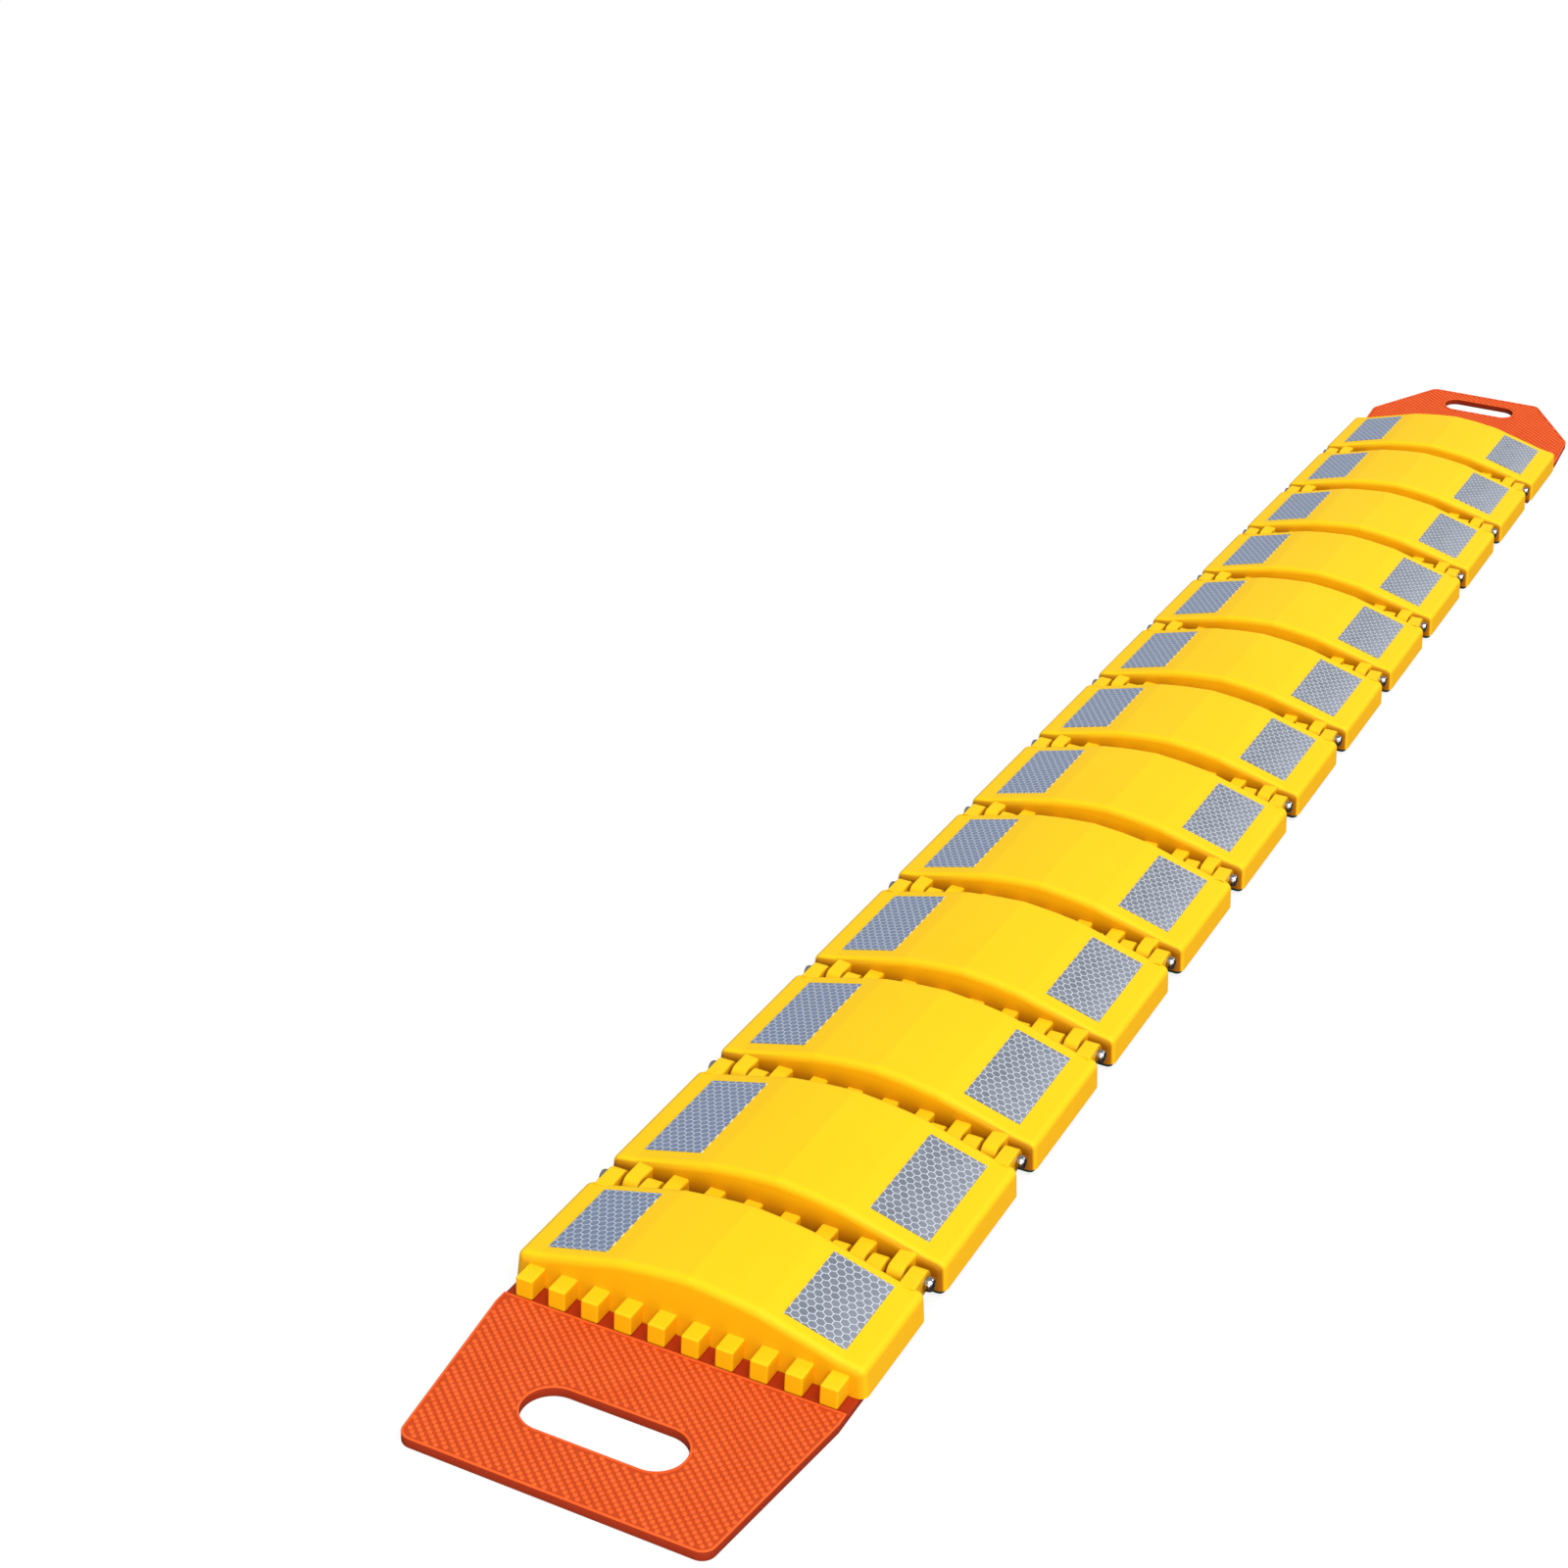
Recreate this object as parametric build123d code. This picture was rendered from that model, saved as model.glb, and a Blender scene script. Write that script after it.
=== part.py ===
# Portable roll-up speed bump: thirteen humped segments hinged edge to edge, with a rubber pad
# under each one and a flexible sheet with a hand slot at both ends.
# X runs across the bump, Y along the strip from the near end to the far end, Z up.
# The origin is on the ground, at the middle of the strip laid flat.
import math
import os

from build123d import *

# Driving dimensions, in millimetres and degrees

segment_count = 13
body_width = 230.0
body_length = 118.0
near_body_length = 86.25
hinge_gap = 26.0

crest_height = 41.0
crown_half_width = 45.0
crown_edge_height = 36.2
crown_bulge = 0.7
toe_inset = 17.0
toe_height = 21.6
lip_height = 19.8
lip_bevel = 5.0
side_draft = 1.4
edge_bevel = 4.0

pad_thickness = 5.0
pad_bevel = 4.5

pin_height = 13.5
barrel_radius = 7.7
barrel_flats = 8
knuckle_count = 17
knuckle_gap = 0.5
strap_root = 2.0
rod_radius = 3.0
rod_flats = 8
rod_clearance = 0.05
bore_flats = 4
head_radius = 4.8
head_height = 4.4
head_bevel = 2.0
head_flats = 8
head_side_room = 1.0

tape_width = 41.0
tape_length = 90.0
near_tape_length = 66.0
tape_thickness = 0.6
tape_toe_gap = 1.0

lug_width = 11.5
lug_length = 15.0
lug_height = 14.0
lug_pitch = 22.0
lug_side_margin = 10.0

flap_reach = 152.0
flap_straight = 26.0
flap_end_width = 192.0
flap_corner_radius = 9.0
slot_length = 102.0
slot_width = 37.0
slot_reach = 92.5
far_flap_lift = 8.0
far_flap_straight = 75.0
far_flap_end_width = 120.0
far_slot_length = 78.0
far_slot_width = 27.0
far_slot_reach = 121.0
bend_gap = 0.8
bend_bevel = 2.4

# Values worked out from the driving dimensions

half_width = body_width / 2
sheet_width = body_width
ground_to_body = pad_thickness
pin_z = ground_to_body + pin_height
toe_x = half_width - toe_inset
ramp_angle = math.degrees(math.atan2(crown_edge_height - toe_height, toe_x - crown_half_width))

body_lengths = [near_body_length] + [body_length] * (segment_count - 1)
strip_length = sum(body_lengths) + hinge_gap * (segment_count - 1) + 2 * flap_reach
body_starts = [
    -strip_length / 2 + flap_reach + sum(body_lengths[:index]) + hinge_gap * index
    for index in range(segment_count)
]
body_centres = [start + length / 2 for start, length in zip(body_starts, body_lengths)]
pin_centres = [
    start + length + hinge_gap / 2 for start, length in zip(body_starts, body_lengths)
][:-1]

knuckle_row = body_width - 2 * (side_draft + head_height + head_side_room)
knuckle_pitch = (knuckle_row + knuckle_gap) / knuckle_count
knuckle_width = knuckle_pitch - knuckle_gap
lug_count = int((body_width - 2 * lug_side_margin - lug_width) / lug_pitch) + 1

bend_from_body = lug_length + bend_gap + pad_thickness / 2
bend_axis = Pos(0, 0, pad_thickness / 2)


def row(count, pitch):
    """Centres of count copies at an even pitch, about zero."""
    return [(index - (count - 1) / 2) * pitch for index in range(count)]


def knuckle_places(outer):
    """Places across the width of the outer or of the inner knuckles of one hinge."""
    return row(knuckle_count, knuckle_pitch)[0 if outer else 1::2]


def hump_section():
    """Section of a segment across the width: upright lips, straight ramps and a creased crown."""
    lip_x = half_width - side_draft
    chord_mid = (crown_edge_height + crest_height) / 2
    half = [
        Polyline((0, 0), (half_width, 0), (lip_x, lip_height - lip_bevel)),
        Line((lip_x, lip_height - lip_bevel), (lip_x - lip_bevel, lip_height)),
        Polyline((lip_x - lip_bevel, lip_height), (toe_x, toe_height), (crown_half_width, crown_edge_height)),
        ThreePointArc(
            (crown_half_width, crown_edge_height),
            (crown_half_width / 2, chord_mid + crown_bulge),
            (0, crest_height),
        ),
        Line((0, crest_height), (0, 0)),
    ]
    right = make_face(half)
    return right + mirror(right, Plane.YZ)


def hump(length):
    """Solid hump with its ends bevelled, centred on Y, standing on the pad."""
    block = extrude(Plane.XZ * hump_section(), length / 2, both=True)
    end_edges = [
        edge
        for edge in block.edges()
        if abs(abs(edge.center().Y) - length / 2) < 0.01 and edge.center().Z > 0.01
    ]
    return Pos(0, 0, ground_to_body) * chamfer(end_edges, edge_bevel)


def knuckle():
    """Barrel about the pin with a strap that runs back into the segment on its -Y side."""
    reach = hinge_gap / 2 + edge_bevel + strap_root
    flat_on_top = 90 - 180 / barrel_flats
    barrel = RegularPolygon(barrel_radius, barrel_flats, major_radius=False, rotation=flat_on_top)
    strap = Pos(-reach / 2, 0) * Rectangle(reach, 2 * barrel_radius)
    bore = RegularPolygon(rod_radius + rod_clearance, bore_flats, major_radius=False, rotation=flat_on_top)
    return extrude(Plane.YZ * (barrel + strap - bore), knuckle_width / 2, both=True)


def knuckles(outer, length):
    """The row of knuckles on the far edge (outer ones) or on the near edge (inner ones)."""
    one = knuckle() if outer else mirror(knuckle(), Plane.XZ)
    pin_y = (length + hinge_gap) / 2 if outer else -(length + hinge_gap) / 2
    return [Pos(x, pin_y, pin_z) * one for x in knuckle_places(outer)]


def lugs(length, side):
    """Row of plain square lugs on a free edge; side is -1 for the near edge, 1 for the far one."""
    depth = lug_length + edge_bevel
    y = side * (length / 2 + lug_length - depth / 2)
    one = Pos(0, y, ground_to_body + lug_height / 2) * Box(lug_width, depth, lug_height)
    return [Pos(x, 0, 0) * one for x in row(lug_count, lug_pitch)]


def on_ramp(side):
    """Frame on the ramp: X up the slope, Z out of it, at the middle of the reflector tape."""
    along = tape_toe_gap + tape_width / 2
    x = toe_x - along * math.cos(math.radians(ramp_angle))
    z = ground_to_body + toe_height + along * math.sin(math.radians(ramp_angle))
    return Location((side * x, 0, z), (0, side * ramp_angle, 0))


def tape(length, side):
    """Reflector tape, stuck on the ramp."""
    strip = Box(tape_width, length, tape_thickness, align=(Align.CENTER, Align.CENTER, Align.MIN))
    return on_ramp(side) * strip


def segment_body(length, near_lugs=False, far_lugs=False):
    """One moulded segment: the hump, with knuckles or lugs on each long edge."""
    near_edge = lugs(length, -1) if near_lugs else knuckles(False, length)
    far_edge = lugs(length, 1) if far_lugs else knuckles(True, length)
    return hump(length) + near_edge + far_edge


def hinge_head():
    """Button head with its flat side on the XY plane."""
    block = extrude(RegularPolygon(head_radius, head_flats), head_height)
    return chamfer(block.faces().sort_by(Axis.Z)[-1].edges(), head_bevel)


def hinge_bolt():
    """Long bolt with its button head at +X, and the cap nut that closes it at -X."""
    across = Rot(0, 90, 0)
    rod = across * extrude(RegularPolygon(rod_radius, rod_flats), knuckle_row / 2, both=True)
    bolt = rod + Pos(knuckle_row / 2, 0, 0) * across * hinge_head()
    cap = Pos(-knuckle_row / 2, 0, 0) * Rot(0, -90, 0) * hinge_head()
    return bolt, cap


def pad(length):
    """Rubber pad with the segment's outline, undercut all round down to the ground."""
    outline = Rectangle(body_width, length)
    outline = chamfer(outline.vertices(), edge_bevel)
    block = extrude(outline, pad_thickness)
    return chamfer(block.faces().sort_by(Axis.Z)[0].edges(), pad_bevel)


def sheet_root(length):
    """Sheet under an end segment, out to the tips of the lugs, towards -Y; undercut at its hinge edge."""
    depth = length + lug_length
    plate = Pos(0, -lug_length / 2, pad_thickness / 2) * Box(sheet_width, depth, pad_thickness)
    tip_edges = plate.faces().sort_by(Axis.Y)[0].edges().filter_by(Axis.X)
    plate = chamfer(tip_edges, bend_bevel)
    hinge_edge = plate.edges().filter_by(Axis.X).group_by(Axis.Y)[-1].sort_by(Axis.Z)[0]
    return chamfer(hinge_edge, pad_bevel)


def flap_outline(reach, straight, end_width):
    """Outline of a flap from the bend outwards, with the bend on the X axis and the flap towards -Y."""
    root = sheet_width / 2
    tip = end_width / 2
    points = [
        (root, 0),
        (root, bend_from_body - straight),
        (tip, bend_from_body - reach),
        (-tip, bend_from_body - reach),
        (-root, bend_from_body - straight),
        (-root, 0),
    ]
    outline = make_face(Polyline(*points, close=True))
    corners = outline.vertices().group_by(Axis.Y)[0]
    return fillet(corners, flap_corner_radius)


def flap(outline, slot, reach_to_slot):
    """Flap with a hand slot; its inner end is rounded about the bend line."""
    plate = extrude(outline - Pos(0, bend_from_body - reach_to_slot) * slot, pad_thickness)
    return plate + bend_axis * Rot(0, 90, 0) * Cylinder(pad_thickness / 2, sheet_width)


def near_flap():
    """Wide flap that lies flat on the ground."""
    outline = flap_outline(flap_reach, flap_straight, flap_end_width)
    return flap(outline, SlotOverall(slot_length, slot_width), slot_reach)


def far_flap():
    """Flap drawn in to a narrow grip, which its set lifts off the ground."""
    lift = math.radians(far_flap_lift)
    level_run = flap_reach - bend_from_body - pad_thickness / 2 * math.sin(lift)
    sloped_reach = bend_from_body + level_run / math.cos(lift)
    outline = flap_outline(sloped_reach, far_flap_straight, far_flap_end_width)
    flat = flap(outline, SlotOverall(far_slot_length, far_slot_width), far_slot_reach)
    return bend_axis * Rot(-far_flap_lift, 0, 0) * bend_axis.inverse() * flat


def write(name, *solids):
    """Write one named node, of one solid or of a group of separate solids."""
    shape = solids[0] if len(solids) == 1 else Compound(children=list(solids))
    export_step(shape, os.path.join("parts", name + ".step"))


os.makedirs("parts", exist_ok=True)

standard_body = segment_body(body_length)
near_body = segment_body(near_body_length, near_lugs=True)
far_body = segment_body(body_length, far_lugs=True)
bodies = [near_body] + [standard_body] * (segment_count - 2) + [far_body]

for index, centre in enumerate(body_centres):
    number = f"{index + 1:02d}"
    tape_run = near_tape_length if index == 0 else tape_length
    write("segment_body_" + number, Pos(0, centre, 0) * bodies[index])
    write("reflector_tapes_" + number, *[Pos(0, centre, 0) * tape(tape_run, side) for side in (-1, 1)])

standard_pad = pad(body_length)
for index in range(1, segment_count - 1):
    write(f"ribbed_pad_{index + 1:02d}", Pos(0, body_centres[index], 0) * standard_pad)

for index, pin_y in enumerate(pin_centres):
    write(f"hinge_bolt_{index + 1:02d}", *[Pos(0, pin_y, pin_z) * piece for piece in hinge_bolt()])

near_root = sheet_root(near_body_length)
far_root = Rot(0, 0, 180) * sheet_root(body_length)
write("near_sheet_root", Pos(0, body_centres[0], 0) * near_root)
write("far_sheet_root", Pos(0, body_centres[-1], 0) * far_root)

near_bend = body_starts[0] - bend_from_body
far_bend = body_starts[-1] + body_lengths[-1] + bend_from_body
write("near_handle_flap", Pos(0, near_bend, 0) * near_flap())
write("far_handle_flap", Pos(0, far_bend, 0) * Rot(0, 0, 180) * far_flap())

print(f"strip {strip_length:.1f} long, knuckles {knuckle_width:.2f} wide, {lug_count} lugs an end")
print(f"pins at {[round(y, 2) for y in pin_centres]}, {pin_z} above the ground")
print(f"bends at {near_bend:.2f} and {far_bend:.2f}")
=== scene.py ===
import math

import bmesh
import bpy
from mathutils import Matrix, Vector


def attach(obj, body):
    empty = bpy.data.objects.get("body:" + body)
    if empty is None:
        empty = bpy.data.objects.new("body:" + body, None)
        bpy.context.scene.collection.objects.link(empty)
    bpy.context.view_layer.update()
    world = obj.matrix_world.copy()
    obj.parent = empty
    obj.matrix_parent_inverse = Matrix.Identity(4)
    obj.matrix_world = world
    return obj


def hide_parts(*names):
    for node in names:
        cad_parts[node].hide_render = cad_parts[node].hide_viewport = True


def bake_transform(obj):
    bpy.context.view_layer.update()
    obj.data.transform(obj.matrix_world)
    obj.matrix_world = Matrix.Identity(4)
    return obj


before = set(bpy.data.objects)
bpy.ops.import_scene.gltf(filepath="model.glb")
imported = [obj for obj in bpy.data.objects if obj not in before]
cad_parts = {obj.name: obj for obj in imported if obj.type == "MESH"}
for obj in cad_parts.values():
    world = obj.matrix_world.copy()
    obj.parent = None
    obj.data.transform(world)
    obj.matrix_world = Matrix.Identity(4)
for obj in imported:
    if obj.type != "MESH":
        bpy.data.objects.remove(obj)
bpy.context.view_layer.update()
scene = bpy.context.scene
mm = 0.001
quarter = math.pi / 2

# sizes of the strip that several pieces share, in millimetres
strip = {
    "segments": 13,
    "width": 230.0,
    "length": 118.0,
    "nearLength": 86.25,
    "hingeGap": 26.0,
    "flapReach": 152.0,
    "padThickness": 5.0,
    "pinHeight": 18.5,
}
lengths = [strip["nearLength"]] + [strip["length"]] * (strip["segments"] - 1)
stripLength = sum(lengths) + strip["hingeGap"] * (strip["segments"] - 1) + 2 * strip["flapReach"]
starts = []
edge = -stripLength / 2 + strip["flapReach"]
for length in lengths:
    starts.append(edge)
    edge += length + strip["hingeGap"]
centres = [start + length / 2 for start, length in zip(starts, lengths)]
pins = [start + length + strip["hingeGap"] / 2 for start, length in zip(starts, lengths)][:-1]


# meshes and objects

weldDistance = 0.00001
straightAngle = 1e-4
# most of a side's length that the rounding of one of its corners takes
cornerShare = 0.49


def newMesh(name, points, faces):
    mesh = bpy.data.meshes.new(name)
    mesh.from_pydata([tuple(c * mm for c in p) for p in points], [], faces)
    mesh.validate()
    return mesh


def meshFrom(name, shape):
    mesh = bpy.data.meshes.new(name)
    shape.to_mesh(mesh)
    shape.free()
    return mesh


def addObject(name, data):
    piece = bpy.data.objects.new(name, data)
    scene.collection.objects.link(piece)
    return piece


def dropObject(piece):
    mesh = piece.data
    bpy.data.objects.remove(piece)
    if mesh.users == 0:
        bpy.data.meshes.remove(mesh)


def bakedMesh(piece):
    graph = bpy.context.evaluated_depsgraph_get()
    return bpy.data.meshes.new_from_object(piece.evaluated_get(graph))


def outward(mesh):
    shape = bmesh.new()
    shape.from_mesh(mesh)
    bmesh.ops.remove_doubles(shape, verts=shape.verts, dist=weldDistance)
    bmesh.ops.recalc_face_normals(shape, faces=shape.faces)
    shape.to_mesh(mesh)
    shape.free()
    return mesh


def softShade(mesh, degrees):
    mesh.shade_smooth()
    mesh.set_sharp_from_angle(angle=math.radians(degrees))


def joined(name, meshes):
    shape = bmesh.new()
    for mesh in meshes:
        shape.from_mesh(mesh)
    return meshFrom(name, shape)


def dressed(name, blank, place, finish, degrees):
    # copy of a blank, moved to its place, with one finish
    mesh = blank.copy()
    mesh.transform(Matrix.Translation([c * mm for c in place]))
    mesh.materials.clear()
    mesh.materials.append(finish)
    for polygon in mesh.polygons:
        polygon.material_index = 0
    softShade(mesh, degrees)
    return addObject(name, mesh)


def combine(name, base, added, cut):
    piece = addObject(name, base)
    others = []
    for mesh, operation in [(m, "UNION") for m in added] + [(m, "DIFFERENCE") for m in cut]:
        other = addObject("tool", mesh)
        others.append(other)
        modifier = piece.modifiers.new(operation.lower(), "BOOLEAN")
        modifier.operation = operation
        modifier.solver = "EXACT"
        modifier.object = other
    result = bakedMesh(piece)
    for other in others:
        dropObject(other)
    piece.modifiers.clear()
    dropObject(piece)
    return result


# lines and rings of points

def clamped(value):
    return min(max(value, 0.0), 1.0)


def turns(sides):
    return [2 * math.pi * side / sides for side in range(sides)]


def circle(radius, sides):
    return [(radius * math.cos(turn), radius * math.sin(turn)) for turn in turns(sides)]


def quarterRound(size, steps):
    # (inset from the side, distance short of the end) around a rounded edge
    angles = [quarter * step / steps for step in range(steps + 1)]
    return [(size * (1 - math.cos(angle)), size * (1 - math.sin(angle))) for angle in angles]


def roundedLine(corners, steps):
    # corners are (x, z, radius); the open line keeps its two ends
    line = [Vector(corners[0][:2])]
    for before, corner, after in zip(corners, corners[1:], corners[2:]):
        a, b, c = Vector(before[:2]), Vector(corner[:2]), Vector(after[:2])
        u, v = (a - b).normalized(), (c - b).normalized()
        half = u.angle(v) / 2
        if corner[2] <= 0 or abs(half - quarter) < straightAngle:
            line.append(b)
            continue
        most = cornerShare * min((a - b).length, (c - b).length)
        reach = min(corner[2] / math.tan(half), most)
        radius = reach * math.tan(half)
        centre = b + (u + v).normalized() * (radius / math.sin(half))
        first, last = b + u * reach - centre, b + v * reach - centre
        turn = first.angle_signed(last)
        for step in range(steps + 1):
            angle = -turn * step / steps
            line.append(centre + Matrix.Rotation(angle, 2) @ first)
    line.append(Vector(corners[-1][:2]))
    return line


def closedOutline(corners, steps):
    # corners are (x, y, radius), the first one on a straight run
    line = roundedLine(corners + [corners[0]], steps)[:-1]
    area = sum(a.x * b.y - b.x * a.y for a, b in zip(line, line[1:] + line[:1]))
    return line if area > 0 else line[::-1]


def lineNormals(line, closed=False):
    normals = []
    for index, point in enumerate(line):
        before = line[index - 1] if index or closed else point
        after = line[(index + 1) % len(line)] if index + 1 < len(line) or closed else point
        run = (after - before).normalized()
        normals.append(Vector((run.y, -run.x)))
    return normals


def ringStack(outline, levels):
    # one ring of points for each (inset, z); the outline runs counterclockwise
    normals = lineNormals(outline, closed=True)
    rings = []
    for inset, z in levels:
        rings.append([(p.x - n.x * inset, p.y - n.y * inset, z) for p, n in zip(outline, normals)])
    return rings


def ringMesh(name, rings):
    # skin over equal rings of points, with a cap on the first ring and on the last
    count = len(rings[0])
    points = [point for ring in rings for point in ring]
    last = len(points) - count
    faces = []
    for low in range(0, last, count):
        for index in range(count):
            after, high = (index + 1) % count, low + count
            faces.append((low + index, low + after, high + after, high + index))
    faces += [tuple(range(count)), tuple(range(last, last + count))]
    return outward(newMesh(name, points, faces))


def roundedBar(name, outline, half, size, steps, place):
    # bar with rounded ends; place sets a point of the section, or its inset copy, along the bar
    normals = lineNormals(outline)
    stages = quarterRound(size, steps)
    rings = []
    for side, order in ((-1, stages[::-1]), (1, stages)):
        for inset, short in order:
            run = side * (half - short)
            rings.append([place(p, p - n * inset, run) for p, n in zip(outline, normals)])
    return ringMesh(name, rings)


def roundBar(name, radius, sides, half, y=0.0, z=0.0):
    # plain round bar along X
    ring = circle(radius, sides)
    return ringMesh(name, [[(x, y + a, z + b) for a, b in ring] for x in (-half, half)])


def domeProfile(form, top):
    # (radius, height) from a head's seat over its rim and dome to the ring round its recess
    radius, rim, rise = form["radius"], form["rim"], form["height"] - form["rim"]
    profile = [(radius, 0.0), (radius, rim)]
    for step in range(1, form["domeSteps"] + 1):
        angle = quarter * step / form["domeSteps"]
        profile.append((top + (radius - top) * math.cos(angle), rim + rise * math.sin(angle)))
    return profile


# shader nodes

def wire(tree, node, inputs):
    # feeds inputs, given by name or number, with sockets, values or colours
    for key, value in inputs.items():
        socket = node.inputs[key]
        if isinstance(value, bpy.types.NodeSocket):
            tree.links.new(value, socket)
        else:
            socket.default_value = (*value, 1.0) if socket.type == "RGBA" else value
    return node


def addNode(tree, kind, inputs=None, **settings):
    node = tree.nodes.new(kind)
    for key, value in settings.items():
        setattr(node, key, value)
    return wire(tree, node, inputs or {})


def newMaterial(name):
    material = bpy.data.materials.new(name)
    material.use_nodes = True
    tree = material.node_tree
    shader = next(node for node in tree.nodes if node.type == "BSDF_PRINCIPLED")
    return material, tree, shader


def objectPlace(tree):
    return addNode(tree, "ShaderNodeTexCoord").outputs["Object"]


def axisOf(tree, vector, axis):
    return addNode(tree, "ShaderNodeSeparateXYZ", {0: vector}).outputs[axis]


def attribute(tree, name):
    return addNode(tree, "ShaderNodeAttribute", attribute_name=name).outputs["Fac"]


def mathNode(tree, operation, first, second):
    return addNode(tree, "ShaderNodeMath", {0: first, 1: second}, operation=operation).outputs[0]


def noise(tree, vector, scale, detail, roughness=0.55):
    inputs = {"Vector": vector, "Scale": scale, "Detail": detail, "Roughness": roughness}
    return addNode(tree, "ShaderNodeTexNoise", inputs).outputs["Fac"]


def mapRange(tree, value, low, high, toLow, toHigh, smooth=False):
    inputs = {"Value": value, "From Min": low, "From Max": high, "To Min": toLow, "To Max": toHigh}
    curve = "SMOOTHSTEP" if smooth else "LINEAR"
    return addNode(tree, "ShaderNodeMapRange", inputs, interpolation_type=curve).outputs["Result"]


def mixColour(tree, factor, first, second):
    inputs = {0: factor, 6: first, 7: second}
    return addNode(tree, "ShaderNodeMix", inputs, data_type="RGBA").outputs[2]


def addBump(tree, shader, height, distance, strength=1.0):
    inputs = {"Strength": strength, "Distance": distance, "Height": height}
    node = addNode(tree, "ShaderNodeBump", inputs)
    wire(tree, shader, {"Normal": node.outputs["Normal"]})


# finishes; a look's patch, grain and marks are a noise's scale, detail and roughness

noiseSpan = {"narrow": (0.3, 0.7), "wide": (0.2, 0.8)}


def mottled(tree, shader, where, look):
    # patches of two close tones, each with its roughness, under a fine grain
    patches, grain = noise(tree, where, *look["patch"]), noise(tree, where, *look["grain"])
    roughness = mapRange(tree, patches, *noiseSpan["wide"], *look["roughness"])
    wire(tree, shader, {"Roughness": roughness})
    addBump(tree, shader, grain, look["grainDepth"])
    share = mapRange(tree, patches, *noiseSpan["narrow"], 0, 1)
    return mixColour(tree, share, look["main"], look["deep"])


yellowLook = {
    # painted shade: wall is the deeper orange that upright faces take
    "main": (0.92, 0.575, 0.009), "deep": (0.91, 0.56, 0.008), "wall": (0.92, 0.475, 0.004),
    # painted shade: recess is the dark orange of the faces between segments, full below the lower
    # of the next two heights and gone above the higher, in metres
    "recess": (0.40, 0.125, 0.002), "recessShadeTop": 0.037, "recessShadeFloor": 0.017,
    "roughness": (0.40, 0.48), "specular": 0.10,
    "patch": (14.0, 3.0), "grain": (1900.0, 2.0), "grainDepth": 0.000025,
}


def yellowPlastic():
    material, tree, shader = newMaterial("yellow-moulded-plastic")
    where = objectPlace(tree)
    colour = mottled(tree, shader, where, yellowLook)
    # painted shade: upright faces take a deeper orange
    colour = mixColour(tree, attribute(tree, "wall"), colour, yellowLook["wall"])
    # painted shade: the faces between segments darken towards the bottom
    height = axisOf(tree, where, 2)
    depth = mapRange(tree, height, yellowLook["recessShadeTop"], yellowLook["recessShadeFloor"], 0, 1)
    recess = mathNode(tree, "MULTIPLY", attribute(tree, "recess"), depth)
    colour = mixColour(tree, recess, colour, yellowLook["recess"])
    wire(tree, shader, {"Base Color": colour, "Specular IOR Level": yellowLook["specular"]})
    return material


# the blue and pale spans are places across the strip, in metres: the blue is a painted shade tint
# on the tapes of the -X side, the pale a painted sheen on those of the +X side, growing towards
# their outer edge
tapeLook = {
    "cell": 5.7, "slope": 15.4, "line": (0.02, 0.07), "lineColour": (0.66, 0.70, 0.77),
    "lineDepth": 0.00015, "lineStrength": 0.6, "snap": 0.25,
    "fill": (0.148, 0.17, 0.212), "fillLight": (0.195, 0.218, 0.265), "blue": (0.17, 0.23, 0.37),
    "shadeTintSpan": (-0.05, 0.05), "shadeTintShare": 0.75, "sheenSpan": (0.07, 0.1), "sheenShare": 0.15,
    "roughness": 0.42,
}


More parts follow.
